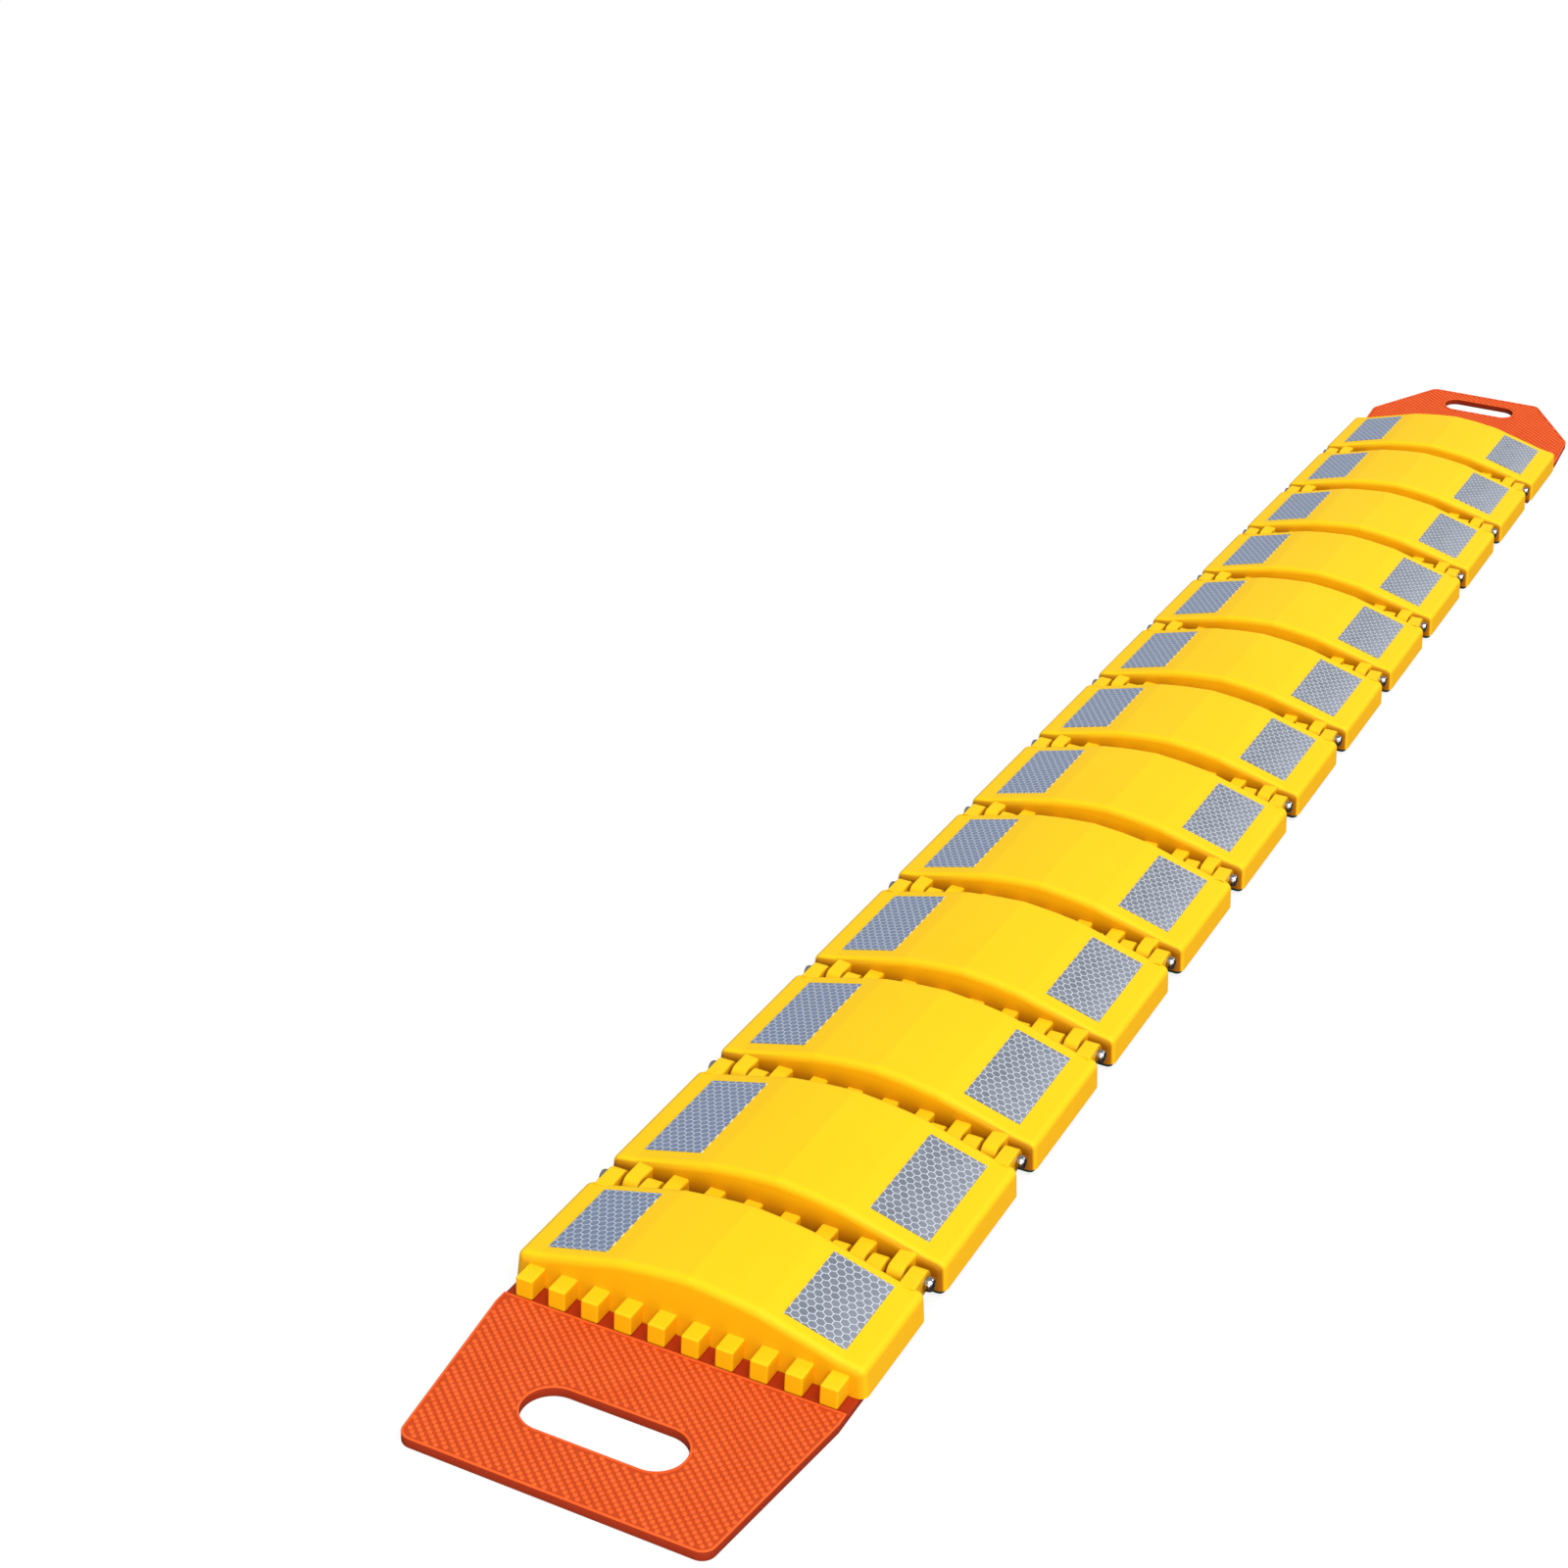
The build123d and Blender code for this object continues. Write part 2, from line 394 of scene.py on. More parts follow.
def honeycombTape():
    material, tree, shader = newMaterial("honeycomb-reflector-tape")
    where = objectPlace(tree)

    def vectorMath(operation, *values):
        return addNode(tree, "ShaderNodeVectorMath", dict(enumerate(values)), operation=operation)

    cell = tapeLook["cell"] * mm
    across = 1 / (cell * math.cos(math.radians(tapeLook["slope"])))
    flat = vectorMath("MULTIPLY", where, (across, 1 / cell, 0.0)).outputs[0]
    period = (1.0, math.sqrt(3.0), 1.0)
    inverse = (1.0, 1 / math.sqrt(3.0), 1.0)
    halfPeriod = (0.5, math.sqrt(3.0) / 2, 0.0)

    def cellOffset(shift):
        moved = vectorMath("SUBTRACT", flat, shift).outputs[0]
        share = vectorMath("FRACTION", vectorMath("MULTIPLY", moved, inverse).outputs[0]).outputs[0]
        spread = vectorMath("MULTIPLY", share, period).outputs[0]
        return vectorMath("SUBTRACT", spread, halfPeriod).outputs[0]

    # the nearer one of two rows of cell centres
    first, second = cellOffset((0, 0, 0)), cellOffset(halfPeriod)
    firstLength = vectorMath("LENGTH", first).outputs["Value"]
    secondLength = vectorMath("LENGTH", second).outputs["Value"]
    nearer = mathNode(tree, "LESS_THAN", firstLength, secondLength)
    pick = addNode(tree, "ShaderNodeMix", {0: nearer, 4: second, 5: first}, data_type="VECTOR")
    offset = pick.outputs[1]

    size = vectorMath("ABSOLUTE", offset).outputs[0]
    slanted = vectorMath("DOT_PRODUCT", size, halfPeriod).outputs["Value"]
    widest = mathNode(tree, "MAXIMUM", slanted, axisOf(tree, size, 0))
    fromEdge = mathNode(tree, "SUBTRACT", 0.5, widest)
    cellMask = mapRange(tree, fromEdge, *tapeLook["line"], 0, 1, smooth=True)

    cellCentre = vectorMath("SUBTRACT", flat, offset).outputs[0]
    grid = vectorMath("SNAP", cellCentre, (tapeLook["snap"], tapeLook["snap"], 1.0)).outputs[0]
    chance = addNode(tree, "ShaderNodeTexWhiteNoise", {"Vector": grid}, noise_dimensions="3D")
    fill = mixColour(tree, chance.outputs["Value"], tapeLook["fill"], tapeLook["fillLight"])
    side = axisOf(tree, where, 0)
    # painted shade: the tapes on the -X side, turned from the light, are tinted blue
    blue = mapRange(tree, side, *tapeLook["shadeTintSpan"], tapeLook["shadeTintShare"], 0.0)
    fill = mixColour(tree, blue, fill, tapeLook["blue"])
    # painted sheen: the tapes on the +X side pale towards their outer edge
    pale = mapRange(tree, side, *tapeLook["sheenSpan"], 0.0, tapeLook["sheenShare"])
    fill = mixColour(tree, pale, fill, tapeLook["lineColour"])
    colour = mixColour(tree, cellMask, tapeLook["lineColour"], fill)
    wire(tree, shader, {"Base Color": colour, "Roughness": tapeLook["roughness"]})
    addBump(tree, shader, cellMask, tapeLook["lineDepth"], tapeLook["lineStrength"])
    return material


rubberLook = {
    "main": (0.003, 0.040, 0.018), "deep": (0.006, 0.060, 0.028), "roughness": (0.38, 0.55),
    "patch": (30.0, 4.0), "grain": (900.0, 3.0), "grainDepth": 0.00006,
}


def greenRubber():
    material, tree, shader = newMaterial("green-ribbed-rubber")
    colour = mottled(tree, shader, objectPlace(tree), rubberLook)
    wire(tree, shader, {"Base Color": colour})
    return material


sheetLook = {
    # painted shade: wall is the dark red for the sheet's walls, its root by the lugs and, in part,
    # the grip's valleys
    "main": (0.84, 0.122, 0.019), "deep": (0.78, 0.102, 0.014), "wall": (0.36, 0.028, 0.004),
    "roughness": (0.42, 0.56), "specular": 0.2,
    "patch": (45.0, 5.0, 0.6), "grain": (1200.0, 3.0), "grainDepth": 0.00008,
}
sheetBackLook = {
    **sheetLook, "roughness": (0.34, 0.46),
    # the painted shade colour wall is set to the back's deep tone here
    "main": (0.52, 0.15, 0.018), "deep": (0.42, 0.105, 0.012), "wall": (0.42, 0.105, 0.012),
}


def orangeRubber(name, look):
    material, tree, shader = newMaterial(name)
    colour = mottled(tree, shader, objectPlace(tree), look)
    # painted shade: a low rise darkens the sheet towards the wall colour
    colour = mixColour(tree, attribute(tree, "rise"), look["wall"], colour)
    wire(tree, shader, {"Base Color": colour, "Specular IOR Level": look["specular"]})
    return material


steelLook = {"colour": (0.46, 0.47, 0.49), "roughness": (0.14, 0.26), "marks": (700.0, 3.0)}


def brightSteel():
    material, tree, shader = newMaterial("bright-steel")
    marks = noise(tree, objectPlace(tree), *steelLook["marks"])
    roughness = mapRange(tree, marks, *noiseSpan["narrow"], *steelLook["roughness"])
    wire(tree, shader, {"Base Color": steelLook["colour"], "Metallic": 1.0, "Roughness": roughness})
    return material


yellow = yellowPlastic()
tapeFinish = honeycombTape()
rubber = greenRubber()
sheetTop = orangeRubber("orange-sheet-top", sheetLook)
sheetBack = orangeRubber("orange-sheet-back", sheetBackLook)
steel = brightSteel()
print("finishes ready")


# rows and scattered copies

def copyTree(name, extra):
    # nodes that set copies of a piece on points, which the caller links, and give them a finish
    tree = bpy.data.node_groups.new(name, "GeometryNodeTree")
    sockets = [("Geometry", "Geometry"), ("Piece", "Object"), *extra, ("Finish", "Material")]
    for label, kind in sockets:
        tree.interface.new_socket(label, in_out="INPUT", socket_type="NodeSocket" + kind)
    tree.interface.new_socket("Geometry", in_out="OUTPUT", socket_type="NodeSocketGeometry")
    values = addNode(tree, "NodeGroupInput").outputs
    info = addNode(tree, "GeometryNodeObjectInfo", {"Object": values["Piece"]})
    copies = addNode(tree, "GeometryNodeInstanceOnPoints", {"Instance": info.outputs["Geometry"]})
    real = addNode(tree, "GeometryNodeRealizeInstances", {"Geometry": copies.outputs["Instances"]})
    inputs = {"Geometry": real.outputs["Geometry"], "Material": values["Finish"]}
    finish = addNode(tree, "GeometryNodeSetMaterial", inputs)
    addNode(tree, "NodeGroupOutput", {"Geometry": finish.outputs["Geometry"]})
    return tree, values, copies


def rowTree():
    extra = [("Count", "Int"), ("First", "Vector"), ("Step", "Vector")]
    tree, values, copies = copyTree("evenRow", extra)
    inputs = {"Count": values["Count"], "Start Location": values["First"], "Offset": values["Step"]}
    line = addNode(tree, "GeometryNodeMeshLine", inputs, mode="OFFSET")
    wire(tree, copies, {"Points": line.outputs["Mesh"]})
    return tree


def scatterTree():
    tree, values, copies = copyTree("onPlaces", [("Turn", "Rotation")])
    wire(tree, copies, {"Points": values["Geometry"], "Rotation": values["Turn"]})
    return tree


evenRow = rowTree()
onPlaces = scatterTree()


def grown(tree, mesh, host, values):
    piece, grower = addObject("copiedPiece", mesh), addObject("grower", host)
    modifier = grower.modifiers.new("grow", "NODES")
    modifier.node_group = tree
    values = {**values, "Piece": piece}
    for item in tree.interface.items_tree:
        if item.in_out == "INPUT" and item.name in values:
            modifier[item.identifier] = values[item.name]
    result = bakedMesh(grower)
    grower.modifiers.clear()
    dropObject(grower)
    dropObject(piece)
    return result


def row(mesh, count, first, step, finish):
    values = {"Count": count, "First": [c * mm for c in first], "Step": [c * mm for c in step]}
    return grown(evenRow, mesh, bpy.data.meshes.new("rowHost"), {**values, "Finish": finish})


def scatter(mesh, places, finish, turn=(0, 0, 0)):
    return grown(onPlaces, mesh, newMesh("places", places, []), {"Turn": turn, "Finish": finish})


# yellow segments

hump = {
    "corners": [(115.0, 0, 0), (113.2, 19.05, 5.5), (98.0, 21.6, 14.0), (45.0, 36.2, 30.0),
                (22.5, 39.3, 260.0), (0.0, 41.0, 6.0)],
    "endRound": 5.5, "steps": 6, "endSteps": 5, "smooth": 38,
}
knuckle = {
    "count": 17, "radius": 7.7, "width": 11.4, "pitch": 12.759, "root": 6.0, "edgeRound": 1.6,
    "boreRadius": 3.1, "boreSides": 20, "arcSteps": 14, "edgeSteps": 4,
}
lug = {
    "count": 10, "pitch": 22.0, "width": 11.5, "length": 15.0, "height": 14.0, "root": 5.0,
    "edgeRound": 1.3, "edgeSteps": 3,
}
# painted shade: a wall's deeper tone comes in as its normal turns level; the bands of the recess
# shade are in millimetres from the segment's end
shade = {
    "wallFrom": 0.8, "wallRun": 0.6, "freeShare": 0.25, "outerBand": 0.3, "innerBand": 6.0,
    "sideFace": 0.7, "endFace": 0.6, "levelFace": 0.5,
}


def humpMesh(length):
    right = hump["corners"]
    left = [(-x, z, r) for x, z, r in reversed(right[:-1])]
    line = roundedLine(right + left, hump["steps"])

    def place(point, moved, run):
        z = 0.0 if point.y == 0 else moved.y
        return moved.x, run, z + strip["padThickness"]

    return roundedBar("hump", line, length / 2, hump["endRound"], hump["endSteps"], place)


def knuckleMesh(towards):
    # strap from the segment's edge, closed by a round barrel about the pin; it grows to one side
    radius, reach = knuckle["radius"], strip["hingeGap"] / 2 + knuckle["root"]
    outline = [Vector((-reach, -radius))]
    for step in range(knuckle["arcSteps"] + 1):
        angle = -quarter + math.pi * step / knuckle["arcSteps"]
        outline.append(Vector((radius * math.cos(angle), radius * math.sin(angle))))
    outline.append(Vector((-reach, radius)))

    def place(point, moved, run):
        y = point.x if point.x < -radius else moved.x
        return run, towards * y, moved.y

    half, size, steps = knuckle["width"] / 2, knuckle["edgeRound"], knuckle["edgeSteps"]
    return roundedBar("knuckle", outline, half, size, steps, place)


def lugMesh():
    shape = bmesh.new()
    box = (lug["width"] * mm, (lug["length"] + lug["root"]) * mm, lug["height"] * mm)
    bmesh.ops.create_cube(shape, size=1.0)
    bmesh.ops.scale(shape, vec=box, verts=shape.verts)
    bmesh.ops.bevel(shape, geom=shape.edges[:], offset=lug["edgeRound"] * mm,
                    segments=lug["edgeSteps"], profile=0.5, affect="EDGES")
    return meshFrom("lug", shape)


def segmentMesh(length, nearLugs=False, farLugs=False):
    added, cut = [], []
    for towards, plain in ((-1, nearLugs), (1, farLugs)):
        if plain:
            y = towards * (length / 2 + (lug["length"] - lug["root"]) / 2)
            height = strip["padThickness"] + lug["height"] / 2
            first = (-(lug["count"] - 1) / 2 * lug["pitch"], y, height)
            added.append(row(lugMesh(), lug["count"], first, (lug["pitch"], 0, 0), yellow))
            continue
        y = towards * (length + strip["hingeGap"]) / 2
        count = knuckle["count"] // 2 + (1 if towards > 0 else 0)
        first = (-(count - 1) * knuckle["pitch"], y, strip["pinHeight"])
        added.append(row(knuckleMesh(towards), count, first, (2 * knuckle["pitch"], 0, 0), yellow))
        cut.append(roundBar("bore", knuckle["boreRadius"], knuckle["boreSides"], strip["width"] / 2,
                            y, strip["pinHeight"]))
    return combine("segmentBlank", humpMesh(length), added, cut)


def recessShadeShare(y, normal, length, hinged):
    # how far a spot takes the painted shade of the faces between two segments; y is from the middle
    share = 1.0 if (1 if y > 0 else -1) in hinged else shade["freeShare"]
    beyond = abs(y) - length / 2
    if beyond > shade["outerBand"] and share == 1.0:
        level = shade["levelFace"]
        return 1.0 if abs(normal.x) > shade["sideFace"] else clamped((level - normal.z) / level)
    atEnd = -shade["innerBand"] < beyond <= shade["outerBand"]
    return share if atEnd and abs(normal.y) > shade["endFace"] else 0.0


def finishShell(piece, centre, length, hinged):
    modifier = piece.modifiers.new("faceWeight", "WEIGHTED_NORMAL")
    modifier.keep_sharp = True
    mesh = bakedMesh(piece)
    piece.modifiers.clear()
    # painted shade: wall is 1 on upright faces and 0 on level ones
    normals = [corner.vector.copy() for corner in mesh.corner_normals]
    spots = [mesh.vertices[loop.vertex_index].co.y / mm - centre for loop in mesh.loops]
    walls = [clamped((shade["wallFrom"] - normal.z) / shade["wallRun"]) for normal in normals]
    # painted shade: recess darkens the faces between two segments, and a little the free ends
    recessShades = [recessShadeShare(y, normal, length, hinged) for y, normal in zip(spots, normals)]
    mesh.attributes.new("wall", "FLOAT", "CORNER").data.foreach_set("value", walls)
    mesh.attributes.new("recess", "FLOAT", "CORNER").data.foreach_set("value", recessShades)
    piece.data = mesh


blanks = {
    "near": segmentMesh(strip["nearLength"], nearLugs=True),
    "middle": segmentMesh(strip["length"]),
    "far": segmentMesh(strip["length"], farLugs=True),
}
hingedSides = {"near": (1,), "middle": (-1, 1), "far": (-1,)}
for index, centre in enumerate(centres):
    number = f"{index + 1:02d}"
    kind = "near" if index == 0 else "far" if index == strip["segments"] - 1 else "middle"
    shell = dressed("segment-shell-" + number, blanks[kind], (0, centre, 0), yellow, hump["smooth"])
    finishShell(shell, centre, lengths[index], hingedSides[kind])
    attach(shell, "segment_" + number)
    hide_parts("segment_body_" + number)
print("segments ready,", len(blanks["middle"].polygons), "faces each")

for index in range(strip["segments"]):
    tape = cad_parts[f"reflector_tapes_{index + 1:02d}"]
    for slot in tape.material_slots:
        slot.material = tapeFinish
print("tapes ready")


# hinge bolts

head = {
    "radius": 4.7, "height": 4.3, "rim": 1.1, "socket": 2.7, "socketRim": 0.35, "socketDepth": 2.4,
    "sides": 24, "domeSteps": 5, "rod": 2.95, "rodSides": 16, "seat": 108.2, "smooth": 40,
}


def headMesh():
    # flat side on the XY plane, dome towards +Z, with a hexagon socket in its top
    sides, socket = head["sides"], head["socket"]
    dome = domeProfile(head, socket / math.cos(math.pi / 6) + head["socketRim"])
    rings = [[(x, y, z) for x, y in circle(radius, sides)] for radius, z in dome]
    hexagon = []
    for turn in turns(sides):
        radius = socket / math.cos(turn % (math.pi / 3) - math.pi / 6)
        hexagon.append((radius * math.cos(turn), radius * math.sin(turn)))
    for z in (head["height"], head["height"] - head["socketDepth"]):
        rings.append([(x, y, z) for x, y in hexagon])
    return ringMesh("buttonHead", rings)


boltParts = [roundBar("rod", head["rod"], head["rodSides"], head["seat"])]
for side in (1, -1):
    seat = (side * head["seat"], 0, 0)
    boltParts.append(scatter(headMesh(), [seat], steel, (0, side * quarter, 0)))
boltBlank = joined("hingeBolt", boltParts)
for index, pin in enumerate(pins):
    number, place = f"{index + 1:02d}", (0, pin, strip["pinHeight"])
    bolt = dressed("button-bolt-" + number, boltBlank, place, steel, head["smooth"])
    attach(bolt, "segment_" + number)
    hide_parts("hinge_bolt_" + number)
print("bolts ready")


# ribbed pads and the screws under them

screw = {
    "radius": 3.4, "height": 1.5, "rim": 0.5, "recess": 1.5, "recessRim": 0.3, "recessDepth": 0.8,
    "sides": 18, "domeSteps": 4, "smooth": 40, "well": 5.0, "wellSides": 24,
}
pad = {
    "sideInset": 1.0, "corner": 4.5, "cornerSteps": 5, "bevel": 3.2, "floor": 1.7, "edgeSteps": 4,
    "rowRun": 215.0, "ribs": 29, "ribWidth": 4.6, "ribRun": 107.0, "ribSink": 0.4, "ribSteps": 6,
    "ribFlat": 0.7, "ribEnd": 1.2, "ribEndShare": 0.3,
    "screwX": 88.0, "screwY": 40.0, "wellDrop": 3.0, "smooth": 40,
}


def screwMesh():
    # pan head looking down, its flat side on the XY plane, with a round recess
    recess, sides = screw["recess"], screw["sides"]
    profile = domeProfile(screw, recess + screw["recessRim"])
    profile += [(recess, screw["height"]), (recess, screw["height"] - screw["recessDepth"])]
    rings = [[(x, y, -z) for x, y in circle(radius, sides)] for radius, z in profile]
    return ringMesh("panScrew", rings)


def wellMesh(low, high):
    ring = circle(screw["well"], screw["wellSides"])
    return ringMesh("well", [[(x, y, z) for x, y in ring] for z in (low, high)])


def padMesh():
    half, depth, bow = strip["width"] / 2 - pad["sideInset"], strip["length"] / 2, pad["corner"]
    corners = [(half, -depth, bow), (half, depth, bow), (-half, depth, bow), (-half, -depth, bow)]
    outline = closedOutline([(0, -depth, 0)] + corners, pad["cornerSteps"])
    edge = quarterRound(pad["bevel"], pad["edgeSteps"])
    levels = [(0.0, strip["padThickness"])]
    levels += [(inset, pad["floor"] + short) for inset, short in edge]
    return ringMesh("padPlate", ringStack(outline, levels))


def ribMesh():
    # half-round bar along Y, hanging from the pad's floor down to the ground
    half, run = pad["ribWidth"] / 2, pad["ribRun"] / 2
    end, endShare = pad["ribEnd"], pad["ribEndShare"]
    outline = [(half, pad["ribSink"])]
    for step in range(pad["ribSteps"] + 1):
        angle = math.pi * step / pad["ribSteps"]
        outline.append((half * math.cos(angle), -pad["floor"] * math.sin(angle) ** pad["ribFlat"]))
    outline.append((-half, pad["ribSink"]))
    stages = [(-run, endShare), (-run + end, 1.0), (run - end, 1.0), (run, endShare)]
    rings = [[(x, y, z * share if z < 0 else z) for x, z in outline] for y, share in stages]
    return ringMesh("rib", rings)


padStep = pad["rowRun"] / (pad["ribs"] - 1)
ribs = row(ribMesh(), pad["ribs"], (-pad["rowRun"] / 2, 0, pad["floor"]), (padStep, 0, 0), rubber)
screwPlaces = [(x, y, pad["floor"]) for x in (-pad["screwX"], pad["screwX"])
               for y in (-pad["screwY"], pad["screwY"])]
wells = scatter(wellMesh(-pad["wellDrop"], 0.0), screwPlaces, rubber)
padBlank = combine("padBlank", padMesh(), [ribs], [wells])
screwBlank = scatter(screwMesh(), screwPlaces, steel)
for index in range(1, strip["segments"] - 1):
    number, middle = f"{index + 1:02d}", (0, centres[index], 0)
    ribbed = dressed("rubber-pad-" + number, padBlank, middle, rubber, pad["smooth"])
    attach(ribbed, "segment_" + number)
    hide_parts("ribbed_pad_" + number)
    screws = dressed("pad-screws-" + number, screwBlank, middle, steel, screw["smooth"])
    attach(screws, "segment_" + number)
print("pads ready,", len(padBlank.polygons), "faces each")


# orange sheets, each one running from under its end segment out to the hand slot

sheet = {
    "sideInset": 3.5, "rootCorner": 3.0, "endCorner": 9.0, "shoulder": 14.0, "arcSteps": 12,
    "edgeRound": 0.5, "edgeSteps": 2, "slotRound": 0.999, "undercut": 4.5,
    "rim": 1.5, "pocket": 0.7, "pocketSlope": 0.3, "fieldGap": 1.0,
    "bend": 18.3, "bendStart": 15.5, "bendEnd": 46.0, "bendCuts": 10,
    "step": 1.6, "stepStart": 15.6, "stepEnd": 16.2, "stepBand": 1.0,
    "screwX": 88.0, "screwY": 24.64, "wellDepth": 1.7, "wellDrop": 1.0,
    "backFace": -0.5, "smooth": 50,
}
nearSheet = {
    "name": "near-sheet", "number": "01", "flap": "near_flap", "turned": False,
    "edge": starts[0], "root": lengths[0],
    "reach": strip["flapReach"], "straight": 26.0, "endWidth": 192.0,
    "slotLength": 102.0, "slotWidth": 37.0, "slotReach": 92.5, "lift": 0.0,
}
farSheet = {
    "name": "far-sheet", "number": "13", "flap": "far_flap", "turned": True,
    "edge": starts[-1] + lengths[-1], "root": lengths[-1],
    "reach": 152.96, "straight": 75.0, "endWidth": 120.0,
    "slotLength": 78.0, "slotWidth": 27.0, "slotReach": 121.0, "lift": 8.0,
}
# levels are a pillow's rings as shares of its size and height
grip = {
    "along": 3.7, "across": 4.5, "turn": -41.0, "border": 0.9, "plainBand": 17.3,
    "length": 4.1, "width": 3.9, "height": 0.8, "corners": 8, "swell": 0.93, "square": 0.55,
    "levels": [(1.0, -0.1), (0.92, 0.42), (0.66, 0.86), (0.28, 1.0)],
    # painted shade: the grip's valleys sit at this share between the shade colour and the sheet's
    # own colour
    "valleyShade": 0.4, "slack": 0.05,
}
fieldFloor = strip["padThickness"] + sheet["step"] - sheet["pocket"]


def sheetLoops(form):
    # looking down, with the free edge of the segment on the X axis and the flap towards -Y
    half, tip = strip["width"] / 2 - sheet["sideInset"], form["endWidth"] / 2
    side = [(half, form["root"], sheet["rootCorner"]), (half, -form["straight"], sheet["shoulder"]),
            (tip, -form["reach"], sheet["endCorner"])]
    corners = [(0, form["root"], 0)] + side + [(-x, y, r) for x, y, r in reversed(side)]
    outer = closedOutline(corners, sheet["arcSteps"])
    end, radius = form["slotLength"] / 2, form["slotWidth"] / 2
    near, far = -form["slotReach"] - radius, -form["slotReach"] + radius
    bow = radius * sheet["slotRound"]
    corners = [(0, near, 0), (end, near, bow), (end, far, bow), (-end, far, bow), (-end, near, bow)]
    return outer, closedOutline(corners, 2 * sheet["arcSteps"])


def pocketLoops(outer, slot):
    # the grip's field lies inside a smooth rim and ends at a straight line before the lugs
    top, side = -grip["plainBand"], strip["width"] / 2 - sheet["sideInset"] - sheet["rim"]
    inner = [Vector(p[:2]) for p in ringStack(outer, [(sheet["rim"], 0)])[0]]
    below = [p for p in inner if p.y < top - sheet["fieldGap"]]
    field = [Vector((-side, top))] + below + [Vector((side, top))]
    return field, [Vector(p[:2]) for p in ringStack(slot, [(-sheet["rim"], 0)])[0]]


def sheetMesh(form):
    outer, slot = sheetLoops(form)
    field, hole = pocketLoops(outer, slot)
    thick = strip["padThickness"]
    edge = quarterRound(sheet["edgeRound"], sheet["edgeSteps"])
    levels = [(short, inset) for inset, short in edge]
    levels += [(inset, thick - z) for inset, z in reversed(levels)]
    shape = bmesh.new()

    def wall(outline, stages):
        rings = ringStack(outline, stages)
        made = [[shape.verts.new([c * mm for c in p]) for p in ring] for ring in rings]
        around = [(index, (index + 1) % len(outline)) for index in range(len(outline))]
        for low, high in zip(made, made[1:]):
            for index, after in around:
                shape.faces.new((low[index], low[after], high[after], high[index]))
        return [[shape.edges.get((ring[index], ring[after])) for index, after in around]
                for ring in (made[0], made[-1])]

    floor, slope = thick - sheet["pocket"], sheet["pocketSlope"]
    outerLow, outerHigh = wall(outer, levels)
    slotLow, slotHigh = wall(slot, [(-inset, z) for inset, z in levels])
    fieldLow, fieldHigh = wall(field, [(slope, floor), (0, thick)])
    holeLow, holeHigh = wall(hole, [(-slope, floor), (0, thick)])
    for first, second in ((outerLow, slotLow), (outerHigh, fieldHigh), (slotHigh, holeHigh),
                          (fieldLow, holeLow)):
        bmesh.ops.triangle_fill(shape, use_beauty=True, edges=first + second)
    start, band = sheet["bendStart"], sheet["bendEnd"] - sheet["bendStart"]
    cuts = [start + band * cut / sheet["bendCuts"] for cut in range(sheet["bendCuts"] + 1)]
    for y in cuts + [sheet["stepStart"], sheet["stepEnd"]]:
        whole = shape.verts[:] + shape.edges[:] + shape.faces[:]
        bmesh.ops.bisect_plane(shape, geom=whole, plane_co=(0, -y * mm, 0), plane_no=(0, 1, 0))
    stepLine = (sheet["stepStart"] + sheet["stepEnd"]) / 2 * mm
    topBand = (thick - sheet["stepBand"]) * mm
    for vertex in shape.verts:
        vertex.co.y = min(vertex.co.y, (form["root"] - sheet["undercut"]) * mm + vertex.co.z)
        if vertex.co.z > topBand and -vertex.co.y > stepLine:
            vertex.co.z += sheet["step"] * mm
    bmesh.ops.recalc_face_normals(shape, faces=shape.faces)
    return meshFrom("sheetPlate", shape)


def inside(point, outline, margin):
    # counterclockwise outline, straight or bulging outwards all round
    for a, b in zip(outline, outline[1:] + outline[:1]):
        run = (b - a).normalized()
        if run.x * (point.y - a.y) - run.y * (point.x - a.x) < margin:
            return False
    return True


def gripPlaces(form):
    outer, slot = sheetLoops(form)
    margin = sheet["rim"] + grip["border"]
    turn = Matrix.Rotation(math.radians(grip["turn"]), 2)
    middle = Vector((0, -form["slotReach"]))
    reach = int(strip["width"] / grip["along"])
    places = []
    for i in range(-reach, reach + 1):
        for j in range(-reach, reach + 1):
            spot = turn @ Vector((i * grip["along"], j * grip["across"])) + middle
            if spot.y > -grip["plainBand"] - grip["border"] or not inside(spot, outer, margin):
                continue
            if not inside(spot, slot, -margin):
                places.append((spot.x, spot.y, fieldFloor))
    return places


def gripMesh():
    # low pillow, a little longer than its pitch so that a row of them reads as one beaded ridge
    rings = []
    for size, rise in grip["levels"]:
        ring = []
        for turn in turns(grip["corners"]):
            angle = turn + math.pi / grip["corners"]
            x, y = math.cos(angle), math.sin(angle)
            stretch = size * grip["swell"] / max(abs(x), abs(y)) ** grip["square"] / 2
            z = grip["height"] * rise
            ring.append((grip["length"] * stretch * x, grip["width"] * stretch * y, z))
        rings.append(ring)
    mesh = ringMesh("gripPillow", rings)
    mesh.transform(Matrix.Rotation(math.radians(grip["turn"]), 4, "Z"))
    return mesh


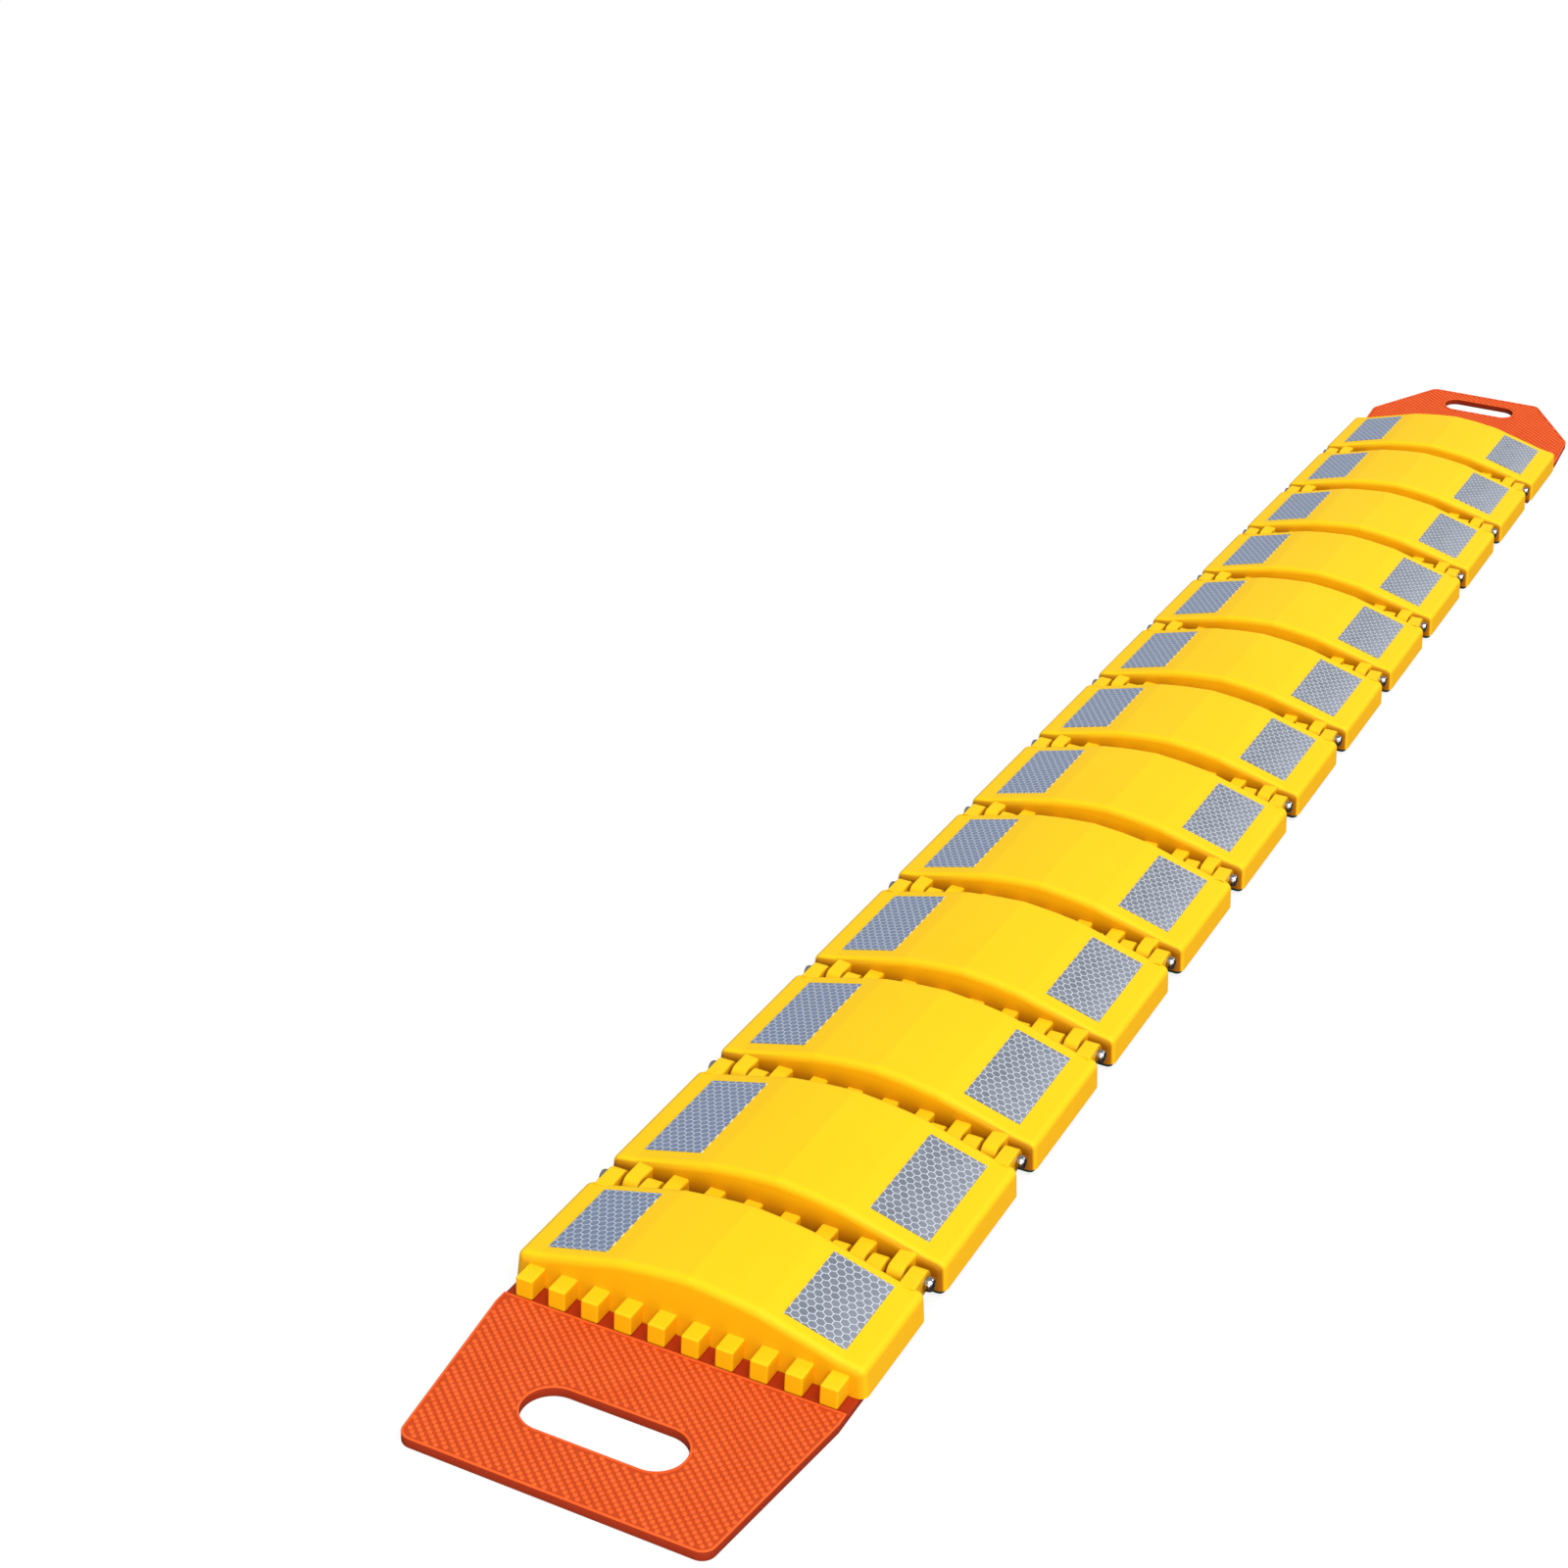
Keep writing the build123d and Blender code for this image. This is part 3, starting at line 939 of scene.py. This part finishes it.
def markRiseAndShade(mesh):
    # painted shade: 0 on the walls and the root, low in the grip's valleys, 1 on its tops, the rim
    # and the back
    valley = grip["valleyShade"]
    riseShades = [0.0] * len(mesh.loops)
    for polygon in mesh.polygons:
        back = polygon.normal.z < sheet["backFace"]
        if polygon.center.z < (fieldFloor - grip["slack"]) * mm and not back:
            continue
        for corner in polygon.loop_indices:
            z = mesh.vertices[mesh.loops[corner].vertex_index].co.z / mm
            share = clamped((z - fieldFloor) / sheet["pocket"])
            riseShades[corner] = 1.0 if back else valley + (1 - valley) * share
    mesh.attributes.new("rise", "FLOAT", "CORNER").data.foreach_set("value", riseShades)


def liftFlap(mesh, form):
    # turns the flap up about its bend line, gradually over the flexible band
    line, half = sheet["bend"] * mm, strip["padThickness"] / 2 * mm
    start, end = sheet["bendStart"] * mm, sheet["bendEnd"] * mm
    for vertex in mesh.vertices:
        angle = -math.radians(form["lift"]) * clamped((-vertex.co.y - start) / (end - start))
        y, z = vertex.co.y + line, vertex.co.z - half
        vertex.co.y = y * math.cos(angle) - z * math.sin(angle) - line
        vertex.co.z = y * math.sin(angle) + z * math.cos(angle) + half


def addSheet(form):
    away, flap, segment = 1 if form["turned"] else -1, form["flap"], "segment_" + form["number"]
    turn = Matrix.Rotation(math.pi if form["turned"] else 0.0, 4, "Z")
    place = Matrix.Translation((0, form["edge"] * mm, 0)) @ turn
    screwYs = (form["root"] / 2 - sheet["screwY"], form["root"] / 2 + sheet["screwY"])
    spots = [(x, y) for x in (-sheet["screwX"], sheet["screwX"]) for y in screwYs]
    well = wellMesh(-sheet["wellDrop"], sheet["wellDepth"])
    holes = scatter(well, [(x, y, 0) for x, y in spots], sheetBack)
    plate = combine("sheetBlank", sheetMesh(form), [], [holes])
    pillows = scatter(gripMesh(), gripPlaces(form), sheetTop)
    mesh = joined("sheet", [plate, pillows])
    markRiseAndShade(mesh)
    liftFlap(mesh, form)
    mesh.transform(place)
    mesh.materials.clear()
    mesh.materials.append(sheetTop)
    mesh.materials.append(sheetBack)
    for polygon in mesh.polygons:
        polygon.material_index = 1 if polygon.normal.z < sheet["backFace"] else 0
    softShade(mesh, sheet["smooth"])
    piece = addObject(form["name"], mesh)
    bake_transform(piece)
    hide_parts(flap.replace("_flap", "_sheet_root"), flap.replace("_flap", "_handle_flap"))
    heads = scatter(screwMesh(), [(x, y, sheet["wellDepth"]) for x, y in spots], steel)
    heads.transform(place)
    softShade(heads, screw["smooth"])
    screws = addObject(form["name"] + "-screws", heads)
    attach(screws, segment)
    print(form["name"], "ready,", len(mesh.polygons), "faces")


addSheet(nearSheet)
addSheet(farSheet)


# stage, light and camera; location is in millimetres, stage and lamps in metres

view = {
    "location": (564.6, -1997.4, 976.8), "ahead": (-0.38357, 0.80829, -0.44671), "roll": 2.641,
    "focal": 2712.0, "image": 1600.0, "sensor": 36.0, "clip": 100.0,
}
ground = {
    "side": 40.0, "drop": 0.0006, "roughness": 0.9, "glow": 0.87,
    "bounce": (0.42, 0.42, 0.42), "seen": (0.92, 0.92, 0.92), "mirrored": (0.05, 0.05, 0.05),
}
worldStrength = 0.38
sun = {"name": "overheadSoft", "aim": (-0.44, 0.5, -1.0), "spread": 50, "strength": 2.65}
lamps = [
    {"name": "edgeLight", "size": 0.7, "power": 18,
     "place": (1.6, 1.4, 2.6), "target": (0, 0, 0)},
    {"name": "sideFill", "size": 1.8, "power": 16,
     "place": (3.0, -0.5, 0.6), "target": (0, -0.2, 0.03)},
    {"name": "frontFill", "size": 1.6, "power": 16,
     "place": (0.5, -3.0, 0.55), "target": (0, -0.9, 0.03)},
]


def aimed(direction):
    return Vector(direction).to_track_quat("-Z", "Y")


def addCamera():
    data = bpy.data.cameras.new("photoView")
    data.sensor_width = view["sensor"]
    data.lens = view["focal"] / view["image"] * view["sensor"]
    data.clip_end = view["clip"]
    camera = addObject("photoView", data)
    aim = aimed(view["ahead"]).to_matrix().to_4x4()
    roll = Matrix.Rotation(math.radians(view["roll"]), 4, "Z")
    camera.matrix_world = Matrix.Translation([c * mm for c in view["location"]]) @ aim @ roll
    scene.camera = camera


def addFloor():
    material, tree, shader = newMaterial("pale-floor")
    rays = addNode(tree, "ShaderNodeLightPath").outputs
    tone = mixColour(tree, rays["Is Camera Ray"], ground["bounce"], ground["seen"])
    tone = mixColour(tree, rays["Is Glossy Ray"], tone, ground["mirrored"])
    inputs = {"Base Color": tone, "Roughness": ground["roughness"], "Specular IOR Level": 0.0}
    wire(tree, shader, inputs)
    glow = addNode(tree, "ShaderNodeEmission", {"Color": (1, 1, 1), "Strength": 1.0})
    share = mathNode(tree, "MULTIPLY", rays["Is Camera Ray"], ground["glow"])
    mix = addNode(tree, "ShaderNodeMixShader", {0: share, 1: shader.outputs[0], 2: glow.outputs[0]})
    out = next(node for node in tree.nodes if node.type == "OUTPUT_MATERIAL")
    wire(tree, out, {"Surface": mix.outputs[0]})
    side = ground["side"]
    corners = [(-side, -side, 0), (side, -side, 0), (side, side, 0), (-side, side, 0)]
    mesh = bpy.data.meshes.new("floor")
    mesh.from_pydata(corners, [], [(0, 1, 2, 3)])
    mesh.materials.append(material)
    floor = addObject("floor", mesh)
    floor.location.z = -ground["drop"]


def addWorld(strength):
    world = bpy.data.worlds.new("studio")
    world.use_nodes = True
    tree = world.node_tree
    rays = addNode(tree, "ShaderNodeLightPath").outputs
    level = mapRange(tree, rays["Is Camera Ray"], 0, 1, strength, 1.0)
    background = next(node for node in tree.nodes if node.type == "BACKGROUND")
    wire(tree, background, {"Color": (1, 1, 1), "Strength": level})
    scene.world = world


def addSun(name, aim, spread, strength):
    data = bpy.data.lights.new(name, "SUN")
    data.angle = math.radians(spread)
    data.energy = strength
    lamp = addObject(name, data)
    lamp.rotation_mode = "QUATERNION"
    lamp.rotation_quaternion = aimed(aim)


def addLamp(name, place, target, size, power):
    data = bpy.data.lights.new(name, "AREA")
    data.shape = "DISK"
    data.size = size
    data.energy = power
    lamp = addObject(name, data)
    lamp.location = place
    lamp.rotation_mode = "QUATERNION"
    lamp.rotation_quaternion = aimed(Vector(target) - Vector(place))


addCamera()
addFloor()
addWorld(worldStrength)
addSun(**sun)
for lamp in lamps:
    addLamp(**lamp)
scene.view_settings.view_transform = "Standard"
print("stage ready")
